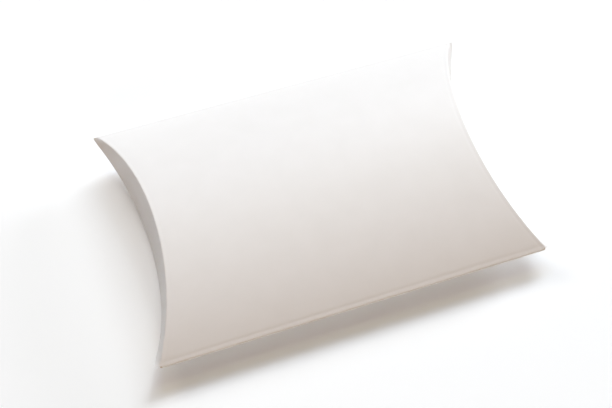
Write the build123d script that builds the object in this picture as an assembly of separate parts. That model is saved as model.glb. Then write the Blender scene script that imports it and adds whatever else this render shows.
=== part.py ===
from build123d import *
import math
import os

# A small pillow box folded from one sheet of plain white card. Two curved panels meet at two
# long side folds, and at each end a pair of curved flaps closes the box: the outer one hangs
# from the top panel's curved crease, the inner one stands on the bottom panel's crease.
# X runs along the box, Y across it and Z up. The origin is on the table, under its centre.

# Folded box, in millimetres
box_length = 96.0
box_width = 64.0
box_depth = 14.2
card_thickness = 0.5
end_curve_depth = 8.1
rest_flat_width = 8.0

# Scored creases and the gaps that keep neighbouring pieces apart
crease_radius = 0.35
crease_steps = 9
crease_sides = 12
hinge_gap = 0.15
seam_gap = 0.02
corner_setback = 0.8

# Glued seam inside the near side fold
glue_flap_width = 11.0
glue_flap_setback = 2.0
glue_flap_taper = 6.0
glue_flap_edge_gap = 0.15
glue_film = 0.1
glue_width = 7.0
glue_end_margin = 5.0

# Outer end flaps
outer_flap_lean = 2.8
outer_flap_near_reach = 1.8
outer_flap_far_reach = 1.4
table_gap = 0.2

# Inner end flaps
inner_flap_depth = 9.6
inner_flap_corner_depth = 1.6
inner_flap_inset = 6.5
inner_flap_lean = 0.5

# Where the cross-sections of a flap lie, as shares of its half width
section_shares = (0.25, 0.5, 0.7, 0.85, 0.94, 1.0)

# The panels' inner faces are parts of one cylinder, sunk below the plane of the side folds
inside_half_width = box_width / 2 - card_thickness
inside_rise = box_depth / 2 - card_thickness
inside_radius = (inside_half_width ** 2 + inside_rise ** 2) / (2 * inside_rise)
outside_radius = inside_radius + card_thickness
axis_drop = inside_radius - inside_rise
edge_angle = math.asin(inside_half_width / inside_radius)

# The end creases run round the panels on a slightly smaller cylinder, in a sloping plane
bead_radius = outside_radius - crease_radius
bead_crown = bead_radius - axis_drop
bead_corner = bead_radius * math.cos(edge_angle) - axis_drop
crease_slope = end_curve_depth / (bead_crown - bead_corner)
crease_centre_x = box_length / 2 + crease_slope * (bead_corner + axis_drop)
crease_reach_x = crease_slope * bead_radius

# The bottom panel is pressed flat where it stands on the table
rest_flat_depth = outside_radius - math.sqrt(outside_radius ** 2 - (rest_flat_width / 2) ** 2)
middle_height = box_depth / 2 - rest_flat_depth


def on_cylinder(radius, angle, x=0.0):
    """A point of a panel's cylinder, at an angle from its crown."""
    return Vector(x, radius * math.sin(angle), radius * math.cos(angle) - axis_drop)


def curved_strip(inner_radius, thickness, start_angle, end_angle, length):
    """A strip of curved card along X, between two angles from the crown."""
    outer_radius = inner_radius + thickness
    middle_angle = (start_angle + end_angle) / 2
    outer = [on_cylinder(outer_radius, a) for a in (start_angle, middle_angle, end_angle)]
    inner = [on_cylinder(inner_radius, a) for a in (end_angle, middle_angle, start_angle)]
    outline = [
        ThreePointArc(*outer),
        Line(outer[2], inner[0]),
        ThreePointArc(*inner),
        Line(inner[2], outer[0]),
    ]
    return extrude(make_face(outline), amount=length / 2, dir=(1, 0, 0), both=True)


def crease_rod(radius):
    """A many-sided rod along the top crease at the +X end, in short straight lengths."""
    square_to_crease = Vector(bead_radius, 0, crease_reach_x)
    sections = []
    for step in range(-crease_steps, crease_steps + 1):
        angle = edge_angle * step / crease_steps
        centre = on_cylinder(bead_radius, angle, crease_centre_x - crease_reach_x * math.cos(angle))
        along = Vector(crease_reach_x * math.sin(angle), bead_radius * math.cos(angle),
                       -bead_radius * math.sin(angle))
        section_plane = Plane(origin=centre, x_dir=square_to_crease, z_dir=along)
        sections.append(section_plane * RegularPolygon(radius, crease_sides))
    return loft(sections, ruled=True)


def upper_half(shape):
    """The part of a shape above the plane of the side folds, less half a seam."""
    block = Box(2 * box_length, 2 * box_width, box_depth)
    return shape & Pos(0, 0, box_depth / 2 + seam_gap / 2) * block


def make_panel():
    """The top panel, between its two end creases."""
    panel = curved_strip(inside_radius, card_thickness, -edge_angle, edge_angle, box_length)
    end_cut = extrude(Pos(crease_centre_x, 0, 0) * Ellipse(crease_reach_x, bead_radius),
                      amount=box_depth, both=True)
    groove = crease_rod(crease_radius + seam_gap)
    for cut in (end_cut, groove):
        panel = panel - cut - mirror(cut, about=Plane.YZ)
    return panel


def make_side_fold():
    """The rounded long fold on the +Y side, which turns about the panels' inner edge."""
    inner = Vector(0, inside_half_width, 0)
    turn = Vector(0, math.sin(edge_angle), math.cos(edge_angle)) * card_thickness
    top = inner + turn
    bottom = inner + Vector(0, turn.Y, -turn.Z)
    nose = inner + Vector(0, card_thickness, 0)
    outline = [Line(inner, top), ThreePointArc(top, nose, bottom), Line(bottom, inner)]
    length = box_length - 2 * corner_setback
    return extrude(make_face(outline), amount=length / 2, dir=(1, 0, 0), both=True)


def glue_strip(outer_gap, thickness, edge_inset, width, half_length, taper):
    """A strip under the top panel by the -Y fold, with tapered ends."""
    start = -(edge_angle - edge_inset / inside_radius)
    strip = curved_strip(inside_radius - outer_gap - thickness, thickness,
                         start, start + width / inside_radius, box_length)
    plan = Polyline((-half_length, -inside_half_width), (half_length, -inside_half_width),
                    (half_length - taper, width - inside_half_width),
                    (taper - half_length, width - inside_half_width), close=True)
    return strip & extrude(make_face(plan), amount=box_depth, both=True)


def make_glue_flap():
    """The glue flap, folded in behind the top panel from the near side fold."""
    wedge = (card_thickness + glue_film) / (2 * math.sin(edge_angle))
    return glue_strip(glue_film, card_thickness, wedge + glue_flap_edge_gap, glue_flap_width,
                      box_length / 2 - glue_flap_setback, glue_flap_taper)


def make_glue_line():
    """The film of glue between the glue flap and the top panel."""
    inset = (glue_flap_width - glue_width) / 2
    half_length = box_length / 2 - glue_flap_setback - glue_flap_taper - glue_end_margin
    return glue_strip(0.0, glue_film, inset + glue_flap_edge_gap, glue_width, half_length, 0.0)


def rise_share(angle):
    """How far up a crease point lies: 0 at the box's corners, 1 at its crown."""
    return (bead_radius * math.cos(angle) - axis_drop - bead_corner) / (bead_crown - bead_corner)


def flap_section(angle, free_edge):
    """One cross-section of a flap, from its crease at an angle to its free edge (x, z)."""
    crease = on_cylinder(bead_radius, angle, crease_centre_x - crease_reach_x * math.cos(angle))
    tip = Vector(free_edge[0], crease.Y, free_edge[1])
    along = (tip - crease).normalized()
    outward = Vector(-along.Z, 0, along.X)
    down_crease = Vector(crease_slope, 0, -1).normalized()
    crease_tilt = math.tan(angle) * math.hypot(crease_slope, 1)
    clear = (crease_radius + hinge_gap) * math.hypot(crease_tilt, 1)

    def start(offset):
        reach = (clear - offset * outward.dot(down_crease)) / along.dot(down_crease)
        return crease + outward * offset + along * reach

    outer = crease_radius
    inner = crease_radius - card_thickness
    corners = [start(outer), tip + outward * outer, tip + outward * inner, start(inner)]
    return make_face(Polyline(*corners, close=True))


def loft_flap(end_angle, free_edge_at):
    """A flap of even thickness between its crease and the free edge that a function gives."""
    shares = [-s for s in reversed(section_shares)] + [0.0] + list(section_shares)
    angles = [end_angle * share for share in shares]
    return loft([flap_section(a, free_edge_at(a)) for a in angles])


def make_outer_flap():
    """The outer flap at the +X end, which hangs from the top panel almost to the table."""
    lowest = table_gap + crease_radius - card_thickness - middle_height
    crown_x = box_length / 2 - end_curve_depth + outer_flap_lean
    middle_reach = (outer_flap_near_reach + outer_flap_far_reach) / 2
    reach_swing = (outer_flap_far_reach - outer_flap_near_reach) / 2

    def free_edge_at(angle):
        share = rise_share(angle)
        reach = middle_reach + reach_swing * math.sin(angle) / math.sin(edge_angle)
        corner_x = box_length / 2 + reach
        x = corner_x + (crown_x - corner_x) * share
        return x, bead_corner + (lowest + card_thickness - bead_corner) * share

    return loft_flap(edge_angle, free_edge_at)


def make_inner_flap():
    """The inner flap at the +X end, drawn as if it hung from the top panel's crease."""
    end_angle = math.asin((box_width / 2 - inner_flap_inset) / bead_radius)
    lean_angle = math.asin(inner_flap_lean / inner_flap_depth)

    def free_edge_at(angle):
        across = math.sin(angle) / math.sin(end_angle)
        depth = inner_flap_corner_depth
        depth += (inner_flap_depth - inner_flap_corner_depth) * (1 - across ** 2)
        x = crease_centre_x - crease_reach_x * math.cos(angle) - depth * math.sin(lean_angle)
        z = bead_radius * math.cos(angle) - axis_drop - depth * math.cos(lean_angle)
        return x, z

    return loft_flap(end_angle, free_edge_at)


def build_pieces():
    """Every piece of the box by name, about the plane of the side folds."""
    panel = make_panel()
    flat_cut = Pos(0, 0, -middle_height - box_depth / 2) * Box(box_length, box_width, box_depth)
    side_fold = make_side_fold()
    crease = upper_half(crease_rod(crease_radius))
    inner_flap = mirror(make_inner_flap(), about=Plane.XY)
    outer_flap = make_outer_flap()
    pieces = {
        "top_panel": panel,
        "bottom_panel": mirror(panel, about=Plane.XY) - flat_cut,
        "far_side_fold": side_fold,
        "near_side_fold": mirror(side_fold, about=Plane.XZ),
        "glue_flap": make_glue_flap(),
        "glue_line": make_glue_line(),
        "right_top_crease": crease,
        "right_bottom_crease": mirror(crease, about=Plane.XY) - flat_cut,
        "right_outer_flap": outer_flap,
        "right_inner_flap": inner_flap,
    }
    for name in [n for n in pieces if n.startswith("right")]:
        pieces[name.replace("right", "left")] = mirror(pieces[name], about=Plane.YZ)
    return pieces


def main():
    """Write each piece to its own file, standing on the table."""
    os.makedirs("parts", exist_ok=True)
    for name, piece in build_pieces().items():
        export_step(Pos(0, 0, middle_height) * piece, f"parts/{name}.step")
    print("hinge crowns at x", round(box_length / 2 - end_curve_depth, 4),
          "z", round(middle_height + bead_crown, 4), "and", round(middle_height - bead_crown, 4))


main()
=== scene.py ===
"""The looks of a small white pillow box, folded from one sheet of card, on a pale floor."""

import logging
import math
from dataclasses import dataclass, field
from enum import Enum
from itertools import product
from typing import ClassVar

import bmesh
import bpy
from mathutils import Matrix, Vector

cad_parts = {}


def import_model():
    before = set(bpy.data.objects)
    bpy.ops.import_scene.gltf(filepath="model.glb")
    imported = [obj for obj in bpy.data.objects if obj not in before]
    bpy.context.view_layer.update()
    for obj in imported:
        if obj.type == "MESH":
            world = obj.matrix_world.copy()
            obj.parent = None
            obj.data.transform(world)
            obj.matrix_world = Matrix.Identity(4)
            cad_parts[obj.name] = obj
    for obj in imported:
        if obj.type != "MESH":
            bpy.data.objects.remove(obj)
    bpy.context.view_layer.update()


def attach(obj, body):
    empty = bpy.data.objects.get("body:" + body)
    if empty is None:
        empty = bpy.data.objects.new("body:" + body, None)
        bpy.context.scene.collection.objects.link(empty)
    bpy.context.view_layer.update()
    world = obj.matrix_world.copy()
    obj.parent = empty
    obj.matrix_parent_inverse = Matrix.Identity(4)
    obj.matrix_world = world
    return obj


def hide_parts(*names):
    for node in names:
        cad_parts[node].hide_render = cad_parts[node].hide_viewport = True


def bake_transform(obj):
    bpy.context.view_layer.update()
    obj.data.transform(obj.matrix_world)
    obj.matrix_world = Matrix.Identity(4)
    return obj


log = logging.getLogger("pillow_box")

MM = 0.001

Triple = tuple[float, float, float]
Finishes = tuple[bpy.types.Material, ...]


class End(Enum):
    """The two ends of the box, with the sign of X on each."""

    RIGHT = 1.0
    LEFT = -1.0

    @property
    def side(self) -> str:
        """The end's name as the CAD nodes spell it."""
        return self.name.lower()


class Layer(Enum):
    """The two panels of the box, with the sign of Z on each."""

    TOP = 1.0
    BOTTOM = -1.0


class Surface(Enum):
    """The material slots of every piece of card."""

    FACE = 0
    INSIDE = 1
    CREASE = 2
    CUT = 3


def seen_directly(tree: bpy.types.NodeTree) -> bpy.types.NodeSocket:
    """Tells the rays that see a surface, also in gloss or through glass, from those that light.

    Args:
        tree: The node tree that needs to know.

    Returns:
        A value of 1 for a ray that sees and 0 for one that lights.
    """
    ray = tree.nodes.new("ShaderNodeLightPath")
    seen = ray.outputs["Is Camera Ray"]
    for kind in ("Is Glossy Ray", "Is Transmission Ray"):
        either = tree.nodes.new("ShaderNodeMath")
        either.operation = "MAXIMUM"
        tree.links.new(seen, either.inputs[0])
        tree.links.new(ray.outputs[kind], either.inputs[1])
        seen = either.outputs["Value"]
    return seen


class NodeSheet:
    """The nodes of one material, with short ways to add and join them."""

    noise_range: ClassVar[tuple[float, float]] = (0.3, 0.7)

    def __init__(self, name: str) -> None:
        """Makes a material and keeps its shader.

        Args:
            name: The material's name.
        """
        self.material = bpy.data.materials.new(name)
        self.material.use_nodes = True
        self.tree = self.material.node_tree
        self.shader = self.tree.nodes["Principled BSDF"]

    def add(self, kind: str, **inputs: float | tuple[float, ...]) -> bpy.types.Node:
        """Adds a node and sets its inputs.

        Args:
            kind: The node's type.
            **inputs: The inputs' values, by name.

        Returns:
            The new node.
        """
        node = self.tree.nodes.new(kind)
        for name, value in inputs.items():
            node.inputs[name].default_value = value
        return node

    def noise(self, size_mm: float, detail: float) -> bpy.types.Node:
        """Adds a noise on Object coordinates.

        Args:
            size_mm: The size of its features.
            detail: Its octaves.

        Returns:
            The noise node.
        """
        place = self.add("ShaderNodeTexCoord")
        noise = self.add("ShaderNodeTexNoise", Scale=1.0 / (size_mm * MM), Detail=detail)
        self.tree.links.new(place.outputs["Object"], noise.inputs["Vector"])
        return noise

    def blend(
        self, factor: bpy.types.NodeSocket, low: Triple, high: Triple
    ) -> bpy.types.NodeSocket:
        """Mixes two colours.

        Args:
            factor: The share of the second colour.
            low: The first colour.
            high: The second colour.

        Returns:
            The mixed colour.
        """
        mix = self.add("ShaderNodeMix")
        mix.data_type = "RGBA"
        mix.inputs["A"].default_value = (*low, 1.0)
        mix.inputs["B"].default_value = (*high, 1.0)
        self.tree.links.new(factor, mix.inputs["Factor"])
        return mix.outputs["Result"]

    def remap(self, value: bpy.types.NodeSocket, low: float, high: float) -> bpy.types.NodeSocket:
        """Spreads the middle range of a noise over new limits.

        Args:
            value: The noise's value.
            low: The result where the noise is low.
            high: The result where it is high.

        Returns:
            The new value.
        """
        spread = self.add("ShaderNodeMapRange")
        limits = (*self.noise_range, low, high)
        for name, limit in zip(("From Min", "From Max", "To Min", "To Max"), limits):
            spread.inputs[name].default_value = limit
        self.tree.links.new(value, spread.inputs["Value"])
        return spread.outputs["Result"]

    def bump(self, layers: list[tuple[bpy.types.NodeSocket, float]]) -> None:
        """Stacks bumps on the shader's normal.

        Args:
            layers: Each bump's height and its depth in millimetres.
        """
        below = None
        for height, depth_mm in layers:
            bump = self.add("ShaderNodeBump", Strength=1.0, Distance=depth_mm * MM)
            self.tree.links.new(height, bump.inputs["Height"])
            if below is not None:
                self.tree.links.new(below, bump.inputs["Normal"])
            below = bump.outputs["Normal"]
        self.tree.links.new(below, self.shader.inputs["Normal"])


@dataclass(frozen=True)
class CardFinish:
    """A finish of the board or glue: its colour, clouding, roughness, tooth and waviness."""

    name: str
    colour: Triple
    shade: Triple
    roughness: float
    roughness_swing: float = 0.04
    cloud_mm: float = 6.0
    cloud_octaves: float = 4.0
    tooth_mm: float = 0.16
    tooth_depth_mm: float = 0.004
    tooth_octaves: float = 2.0
    wave_mm: float = 3.0
    wave_depth_mm: float = 0.006
    wave_octaves: float = 1.0

    def make(self) -> bpy.types.Material:
        """Makes the node material.

        Returns:
            The new material, patterned on Object coordinates.
        """
        sheet = NodeSheet(self.name)
        links = sheet.tree.links
        cloud = sheet.noise(self.cloud_mm, self.cloud_octaves)
        tooth = sheet.noise(self.tooth_mm, self.tooth_octaves)
        wave = sheet.noise(self.wave_mm, self.wave_octaves)
        share = sheet.remap(cloud.outputs["Fac"], 0.0, 1.0)
        links.new(sheet.blend(share, self.shade, self.colour), sheet.shader.inputs["Base Color"])
        smoothest = self.roughness - self.roughness_swing
        roughest = self.roughness + self.roughness_swing
        rough = sheet.remap(tooth.outputs["Fac"], smoothest, roughest)
        links.new(rough, sheet.shader.inputs["Roughness"])
        sheet.bump([
            (wave.outputs["Fac"], self.wave_depth_mm),
            (tooth.outputs["Fac"], self.tooth_depth_mm),
        ])
        return sheet.material


@dataclass(frozen=True)
class FloorFinish:
    """The pale floor, which seems white to the camera and keeps the object's shadow."""

    name: str = "floor_white"
    colour: Triple = (0.915, 0.94, 0.965)
    glow: Triple = (0.99, 1.0, 0.97)
    glow_strength: float = 0.193
    roughness: float = 0.9

    def make(self) -> bpy.types.Material:
        """Makes the node material.

        Returns:
            The new material.
        """
        sheet = NodeSheet(self.name)
        sheet.shader.inputs["Base Color"].default_value = (*self.colour, 1.0)
        sheet.shader.inputs["Roughness"].default_value = self.roughness
        sheet.shader.inputs["Specular IOR Level"].default_value = 0.0
        sheet.shader.inputs["Emission Color"].default_value = (*self.glow, 1.0)
        glow = sheet.add("ShaderNodeMath")
        glow.operation = "MULTIPLY"
        glow.inputs[1].default_value = self.glow_strength
        sheet.tree.links.new(seen_directly(sheet.tree), glow.inputs[0])
        sheet.tree.links.new(glow.outputs["Value"], sheet.shader.inputs["Emission Strength"])
        return sheet.material


BOARD_FACE = CardFinish(
    "white_board_face", (0.892, 0.882, 0.872), (0.875, 0.865, 0.853), 0.50,
)
BOARD_INSIDE = CardFinish(
    "white_board_inside", (0.885, 0.87, 0.85), (0.86, 0.842, 0.818), 0.62,
    cloud_mm=3.0, tooth_depth_mm=0.007,
)
# The scored creases and folds: card pressed a little smoother, and a colour a little lighter than
# the face, a painted highlight along them.
SCORED_CREASE_HIGHLIGHT = CardFinish(
    "scored_crease", (0.897, 0.887, 0.877), (0.88, 0.867, 0.853), 0.45,
    cloud_mm=1.5, tooth_depth_mm=0.006,
)
CUT_EDGE = CardFinish(
    "cut_edge", (0.80, 0.745, 0.69), (0.69, 0.61, 0.54), 0.78,
    cloud_mm=0.25, tooth_mm=0.07, tooth_depth_mm=0.015,
)
DRIED_GLUE = CardFinish(
    "dried_glue", (0.82, 0.78, 0.68), (0.74, 0.69, 0.58), 0.35,
    cloud_mm=2.0, tooth_mm=0.9, tooth_depth_mm=0.03,
)


@dataclass(frozen=True)
class BoxForm:
    """The curved form of the folded box, in millimetres about the plane of its side folds.

    A panel's section is an arc, a little fuller between its crown and its long edges. Beside the
    folds and creases the scoring has pressed a shallow groove into its face.
    """

    length: float = 96.0
    width: float = 64.0
    depth: float = 14.2
    card: float = 0.5
    end_curve_depth: float = 8.1
    crease_radius: float = 0.35
    crease_card: float = 0.3
    middle_height: float = 6.9986
    fullness: float = 0.9
    score_reach: float = 2.4
    score_place: float = 0.7
    score_spread: float = 0.35
    fold_score: float = 0.04
    crease_score: float = 0.02

    @property
    def half_width(self) -> float:
        """Half the width between the side folds' inner edges."""
        return self.width / 2 - self.card

    @property
    def inner_radius(self) -> float:
        """The radius of the arc that a panel's inner face follows."""
        rise = self.depth / 2 - self.card
        return (self.half_width**2 + rise**2) / (2 * rise)

    @property
    def outer_radius(self) -> float:
        """The radius of the arc that a panel's outer face follows."""
        return self.inner_radius + self.card

    @property
    def axis_drop(self) -> float:
        """How far the top panel's axis lies below the plane of the side folds."""
        return self.inner_radius - (self.depth / 2 - self.card)

    @property
    def edge_angle(self) -> float:
        """The angle from a panel's crown to its long edge."""
        return math.asin(self.half_width / self.inner_radius)

    @property
    def bead_radius(self) -> float:
        """The radius of the arc that the creases' centre lines follow."""
        return self.outer_radius - self.crease_radius

    @property
    def bead_corner(self) -> float:
        """The height of a crease's centre line at its corners."""
        return self.bead_height(self.edge_angle)

    @property
    def slope(self) -> float:
        """How far out a crease runs for each millimetre that it comes down."""
        return self.end_curve_depth / (self.bead_height(0.0) - self.bead_corner)

    @property
    def crease_normal(self) -> Vector:
        """The outward normal of the sloping plane in which the right end's top crease lies."""
        return Vector((1.0, 0.0, self.slope)).normalized()

    def bulge(self, angle: float) -> float:
        """How far the panel swells beyond its arc, between its crown and its long edges."""
        share = angle / self.edge_angle
        return self.fullness * (share**2 - share**4)

    def sideways(self, angle: float) -> float:
        """How far sideways the panel faces at an angle from its crown."""
        share = angle / self.edge_angle
        swell = self.fullness * (2.0 * share - 4.0 * share**3) / self.edge_angle
        return math.sin(angle) - swell / self.outer_radius

    def bead_height(self, angle: float) -> float:
        """The height of a crease's centre line at an angle from its crown."""
        return self.bead_radius * math.cos(angle) - self.axis_drop + self.bulge(angle)

    def radial(self, angle: float) -> Vector:
        """The outward direction of the top panel at an angle from its crown."""
        return Vector((0.0, self.sideways(angle), math.cos(angle))).normalized()

    def on_panel(self, radius: float, angle: float, x: float) -> Vector:
        """A point of the top panel, at a radius, an angle from its crown and a place along X."""
        height = radius * math.cos(angle) - self.axis_drop + self.bulge(angle)
        return Vector((x, radius * math.sin(angle), height))

    def crease(self, angle: float) -> Vector:
        """A point on the centre line of the right end's top crease."""
        out = self.slope * (self.bead_height(angle) - self.bead_corner)
        return self.on_panel(self.bead_radius, angle, self.length / 2 - out)

    def crease_tangent(self, angle: float) -> Vector:
        """The direction of that crease towards +Y."""
        sideways = self.sideways(angle)
        return Vector((self.slope * sideways, math.cos(angle), -sideways)).normalized()

    def rise_share(self, angle: float) -> float:
        """How far up that crease a point lies: 0 at its corners, 1 at its crown."""
        rise = self.bead_height(0.0) - self.bead_corner
        return (self.bead_height(angle) - self.bead_corner) / rise

    def score(self, depth: float, distance: float) -> float:
        """How far a score of a depth has pressed the card at a distance from its fold."""
        off = (distance - self.score_place) / self.score_spread
        return depth * math.exp(-(off**2))


def between(first: Vector, second: Vector, share: float) -> Vector:
    """Turns one unit direction part of the way to another.

    Args:
        first: The direction at share 0.
        second: The direction at share 1.
        share: The share of the way.

    Returns:
        The unit direction.
    """
    turn = first.rotation_difference(second)
    return Matrix.Rotation(turn.angle * share, 3, turn.axis) @ first


def stations(*zones: int, mirrored: bool = True) -> list[float]:
    """Divides zones that are each one unit long.

    Args:
        *zones: The divisions of each zone, from the middle outwards.
        mirrored: Whether the same zones also run the other way.

    Returns:
        The stations in order, negative on the mirrored side.
    """
    steps = [zone + (k + 1) / count for zone, count in enumerate(zones) for k in range(count)]
    return ([-s for s in reversed(steps)] if mirrored else []) + [0.0] + steps


def zoned(station: float, first: float, second: float) -> float:
    """The length at a station along two zones that follow each other.

    Args:
        station: The station: 1 at the end of the first zone, 2 at the end of the second.
        first: The first zone's length.
        second: The second zone's length.

    Returns:
        The length from station 0.
    """
    return min(station, 1.0) * first + max(station - 1.0, 0.0) * second


@dataclass
class CardPiece:
    """A closed piece of card, shaped from a flat grid.

    The grid is divided by zones, each one unit long, which are counted from the middle outwards.
    """

    across_zones: ClassVar[tuple[int, ...]]
    along_zones: ClassVar[tuple[int, ...]]
    both_ends: ClassVar[bool] = True

    name: str
    body: str
    replaces: tuple[str, ...]
    slot: str
    finishes: Finishes
    form: BoxForm = field(default_factory=BoxForm)
    flips: Triple = (1.0, 1.0, 1.0)
    edge_rounding: float = 0.0
    edge_segments: int = 2
    sharp_degrees: float = 40.0

    def section(self, across: float, along: float) -> tuple[Vector, Vector]:
        """Places one point of the card.

        Args:
            across: The station across the box.
            along: The station along it.

        Returns:
            The outer face's point and the step to the inner face, in millimetres.
        """
        raise NotImplementedError

    def surface_at(self, along: float) -> Surface:
        """The material slot of the outer face at a station along the box."""
        return Surface.FACE

    def build(self) -> bpy.types.Object:
        """Shapes a grid into the outer face, and extrudes it to the inner face.

        Returns:
            The new object, placed in the row frame.
        """
        columns = stations(*self.across_zones)
        rows = stations(*self.along_zones, mirrored=self.both_ends)
        mesh = bmesh.new()
        bmesh.ops.create_grid(
            mesh, x_segments=len(columns) - 1, y_segments=len(rows) - 1, size=1.0
        )
        inward = mesh.verts.layers.float_vector.new("inward")
        for face in mesh.faces:
            row = int((face.calc_center_median().y + 1.0) / 2.0 * (len(rows) - 1))
            face.material_index = self.surface_at((rows[row] + rows[row + 1]) / 2.0).value
        for vert in mesh.verts:
            column = round((vert.co.x + 1.0) / 2.0 * (len(columns) - 1))
            row = round((vert.co.y + 1.0) / 2.0 * (len(rows) - 1))
            vert.co, vert[inward] = self.section(columns[column], rows[row])
        outside = list(mesh.faces)
        made = bmesh.ops.extrude_face_region(mesh, geom=outside, use_keep_orig=True)["geom"]
        for vert in (g for g in made if isinstance(g, bmesh.types.BMVert)):
            vert.co += vert[inward]
        kept, inside = set(outside), {g for g in made if isinstance(g, bmesh.types.BMFace)}
        for face in mesh.faces:
            if face in inside:
                face.material_index = Surface.INSIDE.value
            elif face not in kept:
                face.material_index = Surface.CUT.value
        bmesh.ops.recalc_face_normals(mesh, faces=mesh.faces)
        self.round_edges(mesh)
        self.place(mesh)
        return self.dress(mesh)

    def round_edges(self, mesh: bmesh.types.BMesh) -> None:
        """Rounds the long arrises of the cut edges.

        Args:
            mesh: The closed piece of card, in millimetres.
        """
        if not self.edge_rounding:
            return
        cut = Surface.CUT.value
        arrises = [
            e for e in mesh.edges
            if len(e.link_faces) == 2 and sum(f.material_index == cut for f in e.link_faces) == 1
            and self.is_free(e)
        ]
        bmesh.ops.bevel(
            mesh, geom=arrises, affect="EDGES", offset=self.edge_rounding,
            segments=self.edge_segments, profile=0.5, material=-1,
        )

    def is_free(self, edge: bmesh.types.BMEdge) -> bool:
        """Whether an edge of the card lies free, and isn't joined to the next piece."""
        return True

    def place(self, mesh: bmesh.types.BMesh) -> None:
        """Mirrors the shape to its side of the box and stands it on the table, in metres.

        The table presses it flat where it would reach lower.

        Args:
            mesh: The finished shape, in millimetres about the plane of the side folds.
        """
        flip = Matrix.Diagonal((*self.flips, 1.0))
        lift = Matrix.Translation((0.0, 0.0, self.form.middle_height))
        bmesh.ops.transform(mesh, matrix=Matrix.Scale(MM, 4) @ lift @ flip, verts=mesh.verts)
        for vert in mesh.verts:
            vert.co.z = max(vert.co.z, 0.0)
        bmesh.ops.recalc_face_normals(mesh, faces=mesh.faces)

    def dress(self, mesh: bmesh.types.BMesh) -> bpy.types.Object:
        """Turns the shape into a piece with its finishes, which stands for its CAD nodes.

        Args:
            mesh: The placed shape, in metres.

        Returns:
            The new object.
        """
        data = bpy.data.meshes.new(self.name)
        mesh.to_mesh(data)
        mesh.free()
        for material in self.finishes:
            data.materials.append(material)
        data.shade_smooth()
        data.set_sharp_from_angle(angle=math.radians(self.sharp_degrees))
        piece = bpy.data.objects.new(self.name, data)
        bpy.context.scene.collection.objects.link(piece)
        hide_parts(*self.replaces)
        self.join(piece)
        log.info("%s: %d faces, with %s", self.name, len(data.polygons), self.body)
        return piece

    def join(self, piece: bpy.types.Object) -> None:
        """Lets the piece ride on its body."""
        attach(piece, self.body)


@dataclass
class Panel(CardPiece):
    """One curved panel, with the half of each end crease that stays with it.

    Across, the zones are the wide middle and the scored strip by each side fold. Along, they are
    the long middle, the scored strip by each end crease, and half of that crease.
    """

    across_zones: ClassVar[tuple[int, ...]] = (24, 10)
    along_zones: ClassVar[tuple[int, ...]] = (12, 12, 6)

    def surface_at(self, along: float) -> Surface:
        """The material slot of the outer face at a station along the box."""
        return Surface.CREASE if abs(along) > 2.0 else Surface.FACE

    def section(self, across: float, along: float) -> tuple[Vector, Vector]:
        """Places one point of the panel.

        Args:
            across: The station across the box: 1 where the scored strip starts, and 2 at
                the side fold.
            along: The station along it: 1 where the scored strip starts, 2 at the end crease,
                and 3 on top of that crease.

        Returns:
            The outer face's point and the step to the inner face, in millimetres.
        """
        form = self.form
        reach = form.score_reach / form.outer_radius
        side = zoned(abs(across), form.edge_angle - reach, reach)
        angle = math.copysign(side, across)
        share, end = abs(along), form.crease(angle)
        radial = form.radial(angle)
        pressed = form.score(form.fold_score, (form.edge_angle - side) * form.outer_radius)
        if share > 2.0:
            outward = between(radial, form.crease_normal, share - 2.0)
            point = end + outward * form.crease_radius - radial * (pressed * (3.0 - share))
            step = -outward * (form.card + (form.crease_card - form.card) * (share - 2.0))
        else:
            x = zoned(share, end.x - form.score_reach, form.score_reach)
            pressed += form.score(form.crease_score, end.x - x)
            point = form.on_panel(form.outer_radius - pressed, angle, x)
            step = -radial * (form.card - pressed)
        mirror = Vector((math.copysign(1.0, along), 1.0, 1.0))
        return point * mirror, step * mirror


@dataclass
class EndFlap(CardPiece):
    """An end flap, with the half of its crease that turns with it.

    Down the flap, the zones are half of the crease, the scored strip by it, and the rest down to
    the free edge.
    """

    across_zones: ClassVar[tuple[int, ...]] = (34,)
    along_zones: ClassVar[tuple[int, ...]] = (6, 8, 18)
    both_ends: ClassVar[bool] = False

    edge_rounding: float = 0.06
    bend: float = 5.0
    strip_share: float = 0.4
    joined_reach: float = 0.1

    def end_angle(self) -> float:
        """The angle from the crown at which the flap ends."""
        return self.form.edge_angle

    def tip(self, angle: float) -> Vector:
        """The point of the free edge at an angle across the flap."""
        raise NotImplementedError

    def surface_at(self, along: float) -> Surface:
        """The material slot of the outer face at a station down the flap."""
        return Surface.CREASE if along < 1.0 else Surface.FACE

    def section(self, across: float, along: float) -> tuple[Vector, Vector]:
        """Places one point of the flap.

        Args:
            across: The station across the box, from -1 to 1.
            along: The station down the flap: 0 on top of the crease, 1 where the flat card
                starts, 2 past its scored strip and 3 at the free edge.

        Returns:
            The outer face's point and the step to the inner face, in millimetres.
        """
        form = self.form
        angle = across * self.end_angle()
        crease = form.crease(angle)
        rule = self.tip(angle) - crease
        facing = rule.cross(form.crease_tangent(angle)).normalized()
        if along < 1.0:
            outward = between(form.crease_normal, facing, along)
            depth = form.crease_card + (form.card - form.crease_card) * along
            return crease + outward * form.crease_radius, -outward * depth
        strip = min(form.score_reach, self.strip_share * rule.length)
        down = zoned(along - 1.0, strip, rule.length - strip)
        pressed = form.score(form.crease_score, down * form.score_reach / strip)
        point = crease + facing * (form.crease_radius - pressed) + rule.normalized() * down
        return point, -facing * (form.card - pressed)

    def is_free(self, edge: bmesh.types.BMEdge) -> bool:
        """Whether an edge lies away from the crease, where the flap joins the panel."""
        plane = self.form.crease(0.0)
        normal = self.form.crease_normal
        return all((v.co - plane).dot(normal) < self.joined_reach for v in edge.verts)

    def join(self, piece: bpy.types.Object) -> None:
        """Bakes the flap's placement into its mesh; the flap stays unbent and rides on no body."""
        form = self.form
        apex = form.crease(0.0) + form.crease_normal * form.crease_radius
        deep = apex - form.crease_normal * self.bend
        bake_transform(piece)


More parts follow.
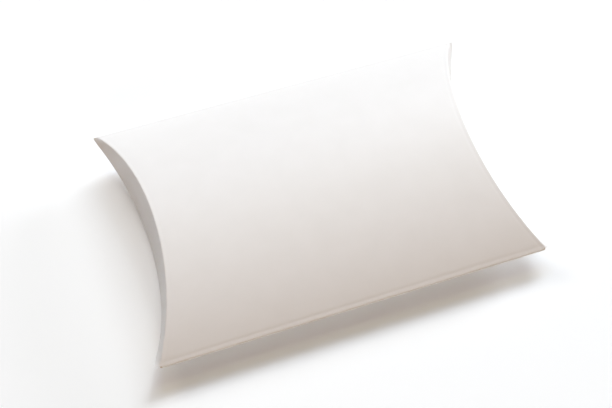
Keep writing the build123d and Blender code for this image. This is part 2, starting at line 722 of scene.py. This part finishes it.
@dataclass
class OuterFlap(EndFlap):
    """The flap that closes the end from outside, flared at its corners."""

    lean: float = 2.6
    near_reach: float = 1.5
    far_reach: float = 1.2
    table_gap: float = 0.2

    def tip(self, angle: float) -> Vector:
        """The point of the free edge at an angle across the flap."""
        form = self.form
        share = form.rise_share(angle)
        middle_reach = (self.far_reach + self.near_reach) / 2
        swing = (self.far_reach - self.near_reach) / 2
        across = math.sin(angle) / math.sin(form.edge_angle)
        corner_x = form.length / 2 + middle_reach + swing * across
        crown_x = form.length / 2 - form.end_curve_depth + self.lean
        lowest = self.table_gap + form.crease_radius - form.middle_height
        return Vector((
            corner_x + (crown_x - corner_x) * share,
            form.crease(angle).y,
            form.bead_corner + (lowest - form.bead_corner) * share,
        ))


@dataclass
class InnerFlap(EndFlap):
    """The flap that is tucked in behind the outer one."""

    reach: float = 9.6
    corner_reach: float = 1.6
    inset: float = 6.5
    lean: float = 0.5

    def end_angle(self) -> float:
        """The angle from the crown at which the flap ends."""
        return math.asin((self.form.width / 2 - self.inset) / self.form.bead_radius)

    def tip(self, angle: float) -> Vector:
        """The point of the free edge at an angle across the flap."""
        across = math.sin(angle) / math.sin(self.end_angle())
        reach = self.corner_reach + (self.reach - self.corner_reach) * (1.0 - across**2)
        lean = math.asin(self.lean / self.reach)
        down = Vector((math.sin(lean), 0.0, math.cos(lean)))
        return self.form.crease(angle) - down * reach


@dataclass
class SideFold(CardPiece):
    """A long rounded fold between the two panels, closed round at its ends.

    Across, the one zone runs from the middle of the fold to a panel. Along, the zones are the
    straight fold and its round end.
    """

    across_zones: ClassVar[tuple[int, ...]] = (8,)
    along_zones: ClassVar[tuple[int, ...]] = (24, 8)

    overrun: float = 0.1
    inner_gap: float = 0.02
    end_closing: float = 0.95

    def surface_at(self, along: float) -> Surface:
        """The material slot of the outer face at a station along the box."""
        return Surface.CUT if abs(along) > 1.0 else Surface.CREASE

    def section(self, across: float, along: float) -> tuple[Vector, Vector]:
        """Places one point of the fold.

        Args:
            across: The station round the fold, from -1 to 1.
            along: The station along the box: 1 where the round end starts, 2 at its tip.

        Returns:
            The outer face's point and the step to the inner face, in millimetres.
        """
        form = self.form
        turn = across * (math.pi / 2 - form.edge_angle)
        outward = Vector((0.0, math.cos(turn), math.sin(turn)))
        rounding = self.end_closing * max(abs(along) - 1.0, 0.0) * math.pi / 2
        straight = form.length / 2 + self.overrun - form.card
        x = min(abs(along), 1.0) * straight + form.card * math.sin(rounding)
        radius = form.card * math.cos(rounding)
        core = Vector((math.copysign(x, along), form.half_width, 0.0))
        return core + outward * radius, -outward * radius * (1.0 - self.inner_gap)


@dataclass
class GlueFlap(CardPiece):
    """The glue flap, a strip under the top panel beside the near fold, with tapered ends."""

    across_zones: ClassVar[tuple[int, ...]] = (8,)
    along_zones: ClassVar[tuple[int, ...]] = (24,)

    gap: float = 0.1
    thickness: float = 0.5
    inset: float = 0.9
    strip_width: float = 11.0
    half_length: float = 46.0
    taper: float = 6.0

    def section(self, across: float, along: float) -> tuple[Vector, Vector]:
        """Places one point of the strip.

        Args:
            across: The station across the strip, from -1 at the fold to 1.
            along: The station along the box, from -1 to 1.

        Returns:
            The outer face's point and the step to the inner face, in millimetres.
        """
        form = self.form
        radius = form.inner_radius - self.gap
        share = (across + 1.0) / 2.0
        angle = (self.inset + share * self.strip_width) / radius - form.edge_angle
        point = form.on_panel(radius, angle, along * (self.half_length - self.taper * share))
        return point, -form.radial(angle) * self.thickness


@dataclass
class GlueFilm(GlueFlap):
    """The film of dried glue between the glue flap and the top panel."""

    gap: float = 0.0
    thickness: float = 0.1
    inset: float = 2.15
    strip_width: float = 7.0
    half_length: float = 35.0
    taper: float = 0.0


def towards(azimuth: float, elevation: float) -> Vector:
    """The direction of a place in the studio, turned from -Y towards +X, in degrees.

    Args:
        azimuth: The turn.
        elevation: The height above the floor.

    Returns:
        The unit direction from the box.
    """
    turn, rise = math.radians(azimuth), math.radians(elevation)
    level = math.cos(rise)
    return Vector((math.sin(turn) * level, -math.cos(turn) * level, math.sin(rise)))


@dataclass(frozen=True)
class Softbox:
    """A rectangular lamp that faces the box with its long side along X, in metres and watts."""

    name: str
    place: Triple
    size: tuple[float, float]
    power: float
    colour: Triple

    def hang(self) -> None:
        """Hangs the lamp."""
        data = bpy.data.lights.new(self.name, "AREA")
        data.shape = "RECTANGLE"
        data.size, data.size_y = self.size
        data.energy, data.color = self.power, self.colour
        back = Vector(self.place).normalized()
        along = Vector((1.0, 0.0, 0.0))
        along = (along - back * along.dot(back)).normalized()
        axes = Matrix((along, back.cross(along), back)).transposed()
        lamp = bpy.data.objects.new(self.name, data)
        lamp.matrix_world = Matrix.Translation(self.place) @ axes.to_4x4()
        bpy.context.scene.collection.objects.link(lamp)


@dataclass(frozen=True)
class Fill:
    """A weak and very soft light from afar, in degrees."""

    name: str
    azimuth: float
    elevation: float
    strength: float
    colour: Triple
    spread: float = 40.0

    def hang(self) -> None:
        """Hangs the lamp."""
        data = bpy.data.lights.new(self.name, "SUN")
        data.energy, data.angle, data.color = self.strength, math.radians(self.spread), self.colour
        lamp = bpy.data.objects.new(self.name, data)
        lamp.rotation_mode = "QUATERNION"
        lamp.rotation_quaternion = towards(self.azimuth, self.elevation).to_track_quat("Z", "Y")
        bpy.context.scene.collection.objects.link(lamp)


SOFTBOXES = (
    Softbox("window_left", (0.2, 0.94, 1.2), (0.9, 0.4), 7.8, (0.755, 0.85, 1.0)),
    Softbox("window_middle", (1.0, 1.2, 1.2), (0.9, 0.4), 19.9, (0.91, 0.96, 1.0)),
    Softbox("window_top", (0.3, 0.55, 1.5), (0.9, 0.4), 2.9, (0.97, 1.0, 0.69)),
    Softbox("far_window", (4.4, 1.84, 1.2), (1.4, 0.6), 90.0, (0.91, 0.94, 1.0)),
    Softbox("warm_wall", (-0.8, 1.5, 1.2), (0.9, 0.4), 8.4, (1.0, 0.885, 0.75)),
    Softbox("ceiling", (0.0, 0.0, 1.6), (1.2, 1.2), 1.1, (1.0, 0.1, 0.02)),
)
FILLS = (
    Fill("near_fill", 0.0, 12.0, 1.12, (1.0, 0.74, 0.50)),
    Fill("left_fill", -50.0, 14.0, 0.1, (1.0, 0.88, 0.98)),
)


@dataclass(frozen=True)
class FixedCamera:
    """The camera, where the photograph was taken from."""

    azimuth: float = -19.77
    elevation: float = 63.51
    roll: float = 1.73
    distance_mm: float = 239.0
    target_mm: Triple = (-3.449, -2.4, 6.9986)
    focal_px: float = 965.9
    picture_px: int = 612
    sensor_mm: float = 36.0
    clip: tuple[float, float] = (0.01, 20.0)

    def place(self) -> None:
        """Sets the camera."""
        data = bpy.data.cameras.new("camera")
        data.sensor_width = self.sensor_mm
        data.lens = self.focal_px * self.sensor_mm / self.picture_px
        data.clip_start, data.clip_end = self.clip
        back = towards(self.azimuth, self.elevation)
        right = Vector((0.0, 0.0, 1.0)).cross(back).normalized()
        tilt = Matrix.Rotation(math.radians(self.roll), 3, back)
        axes = Matrix((tilt @ right, tilt @ back.cross(right), back)).transposed()
        place = (Vector(self.target_mm) + back * self.distance_mm) * MM
        camera = bpy.data.objects.new("camera", data)
        camera.matrix_world = Matrix.Translation(place) @ axes.to_4x4()
        bpy.context.scene.collection.objects.link(camera)
        bpy.context.scene.camera = camera


@dataclass
class Studio:
    """The pale floor, the soft light and the camera."""

    softboxes: tuple[Softbox, ...] = SOFTBOXES
    fills: tuple[Fill, ...] = FILLS
    floor_radius: float = 4.0
    floor_sides: int = 96
    floor_tilt: float = 2.5
    floor_pivot_mm: float = -4.0
    ambient: float = 0.004
    ambient_colour: Triple = (1.0, 0.86, 0.74)
    background: Triple = (1.0, 1.0, 1.0)

    def floor(self) -> None:
        """Lays the floor, which leans as the box does on its curved underside."""
        mesh = bmesh.new()
        bmesh.ops.create_circle(
            mesh, cap_ends=True, segments=self.floor_sides, radius=self.floor_radius
        )
        pivot = Matrix.Translation((0.0, self.floor_pivot_mm * MM, 0.0))
        tilt = pivot @ Matrix.Rotation(math.radians(-self.floor_tilt), 4, "X") @ pivot.inverted()
        bmesh.ops.transform(mesh, matrix=tilt, verts=mesh.verts)
        data = bpy.data.meshes.new("floor")
        mesh.to_mesh(data)
        mesh.free()
        data.materials.append(FloorFinish().make())
        floor = bpy.data.objects.new("floor", data)
        bpy.context.scene.collection.objects.link(floor)

    def world(self) -> None:
        """Sets a faint light all round, with a white background for what the camera sees."""
        world = bpy.data.worlds.new("studio")
        bpy.context.scene.world = world
        world.use_nodes = True
        nodes, links = world.node_tree.nodes, world.node_tree.links
        faint = nodes["Background"]
        faint.inputs["Color"].default_value = (*self.ambient_colour, 1.0)
        faint.inputs["Strength"].default_value = self.ambient
        white = nodes.new("ShaderNodeBackground")
        white.inputs["Color"].default_value = (*self.background, 1.0)
        white.inputs["Strength"].default_value = 1.0
        mix = nodes.new("ShaderNodeMixShader")
        links.new(seen_directly(world.node_tree), mix.inputs["Fac"])
        links.new(faint.outputs["Background"], mix.inputs[1])
        links.new(white.outputs["Background"], mix.inputs[2])
        links.new(mix.outputs["Shader"], nodes["World Output"].inputs["Surface"])

    def build(self) -> None:
        """Sets up the whole studio."""
        FixedCamera().place()
        self.floor()
        for lamp in (*self.softboxes, *self.fills):
            lamp.hang()
        self.world()


@dataclass
class PillowBox:
    """The whole box: two panels, two side folds, the glued seam and four end flaps."""

    form: BoxForm = field(default_factory=BoxForm)

    def panels(self, card: Finishes) -> None:
        """Builds the two panels.

        Args:
            card: The card's finishes.
        """
        for layer in Layer:
            level = layer.name.lower()
            creases = tuple(f"{end.side}_{level}_crease" for end in End)
            Panel(
                f"{level}_panel_card", "carton", (f"{level}_panel", *creases), "card_face",
                card, self.form, flips=(1.0, 1.0, layer.value),
            ).build()

    def folds(self, card: Finishes) -> None:
        """Builds the two side folds.

        Args:
            card: The card's finishes.
        """
        for name, sign in (("far", 1.0), ("near", -1.0)):
            SideFold(
                f"{name}_fold_card", "carton", (f"{name}_side_fold",), "card_fold", card,
                self.form, flips=(1.0, sign, 1.0),
            ).build()

    def seam(self, card: Finishes, glue: bpy.types.Material) -> None:
        """Builds the glue flap and its film of glue.

        Args:
            card: The card's finishes.
            glue: The glue's finish.
        """
        inside = (card[Surface.INSIDE.value],) + card[1:]
        GlueFlap(
            "glue_flap_card", "carton", ("glue_flap",), "card_inside", inside, self.form,
        ).build()
        GlueFilm(
            "glue_film", "carton", ("glue_line",), "dried_glue", (glue,) * len(card), self.form,
        ).build()

    def flaps(self, card: Finishes) -> None:
        """Builds the four end flaps.

        Args:
            card: The card's finishes.
        """
        kinds = ((OuterFlap, "outer", Layer.TOP), (InnerFlap, "inner", Layer.BOTTOM))
        for end, (flap, which, layer) in product(End, kinds):
            name = f"{end.side}_{which}"
            flap(
                f"{name}_flap_card", name, (f"{name}_flap",), "card_face", card, self.form,
                flips=(end.value, 1.0, layer.value),
            ).build()

    def build(self) -> None:
        """Builds every piece of the box."""
        finishes = (BOARD_FACE, BOARD_INSIDE, SCORED_CREASE_HIGHLIGHT, CUT_EDGE)
        card = tuple(finish.make() for finish in finishes)
        self.panels(card)
        self.folds(card)
        self.seam(card, DRIED_GLUE.make())
        self.flaps(card)


def main() -> None:
    """Builds the box around its frame, and the studio around the box."""
    logging.basicConfig(level=logging.INFO, format="%(name)s: %(message)s")
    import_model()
    bpy.context.scene.view_settings.view_transform = "Standard"
    PillowBox().build()
    Studio().build()


if __name__ == "__main__":
    main()
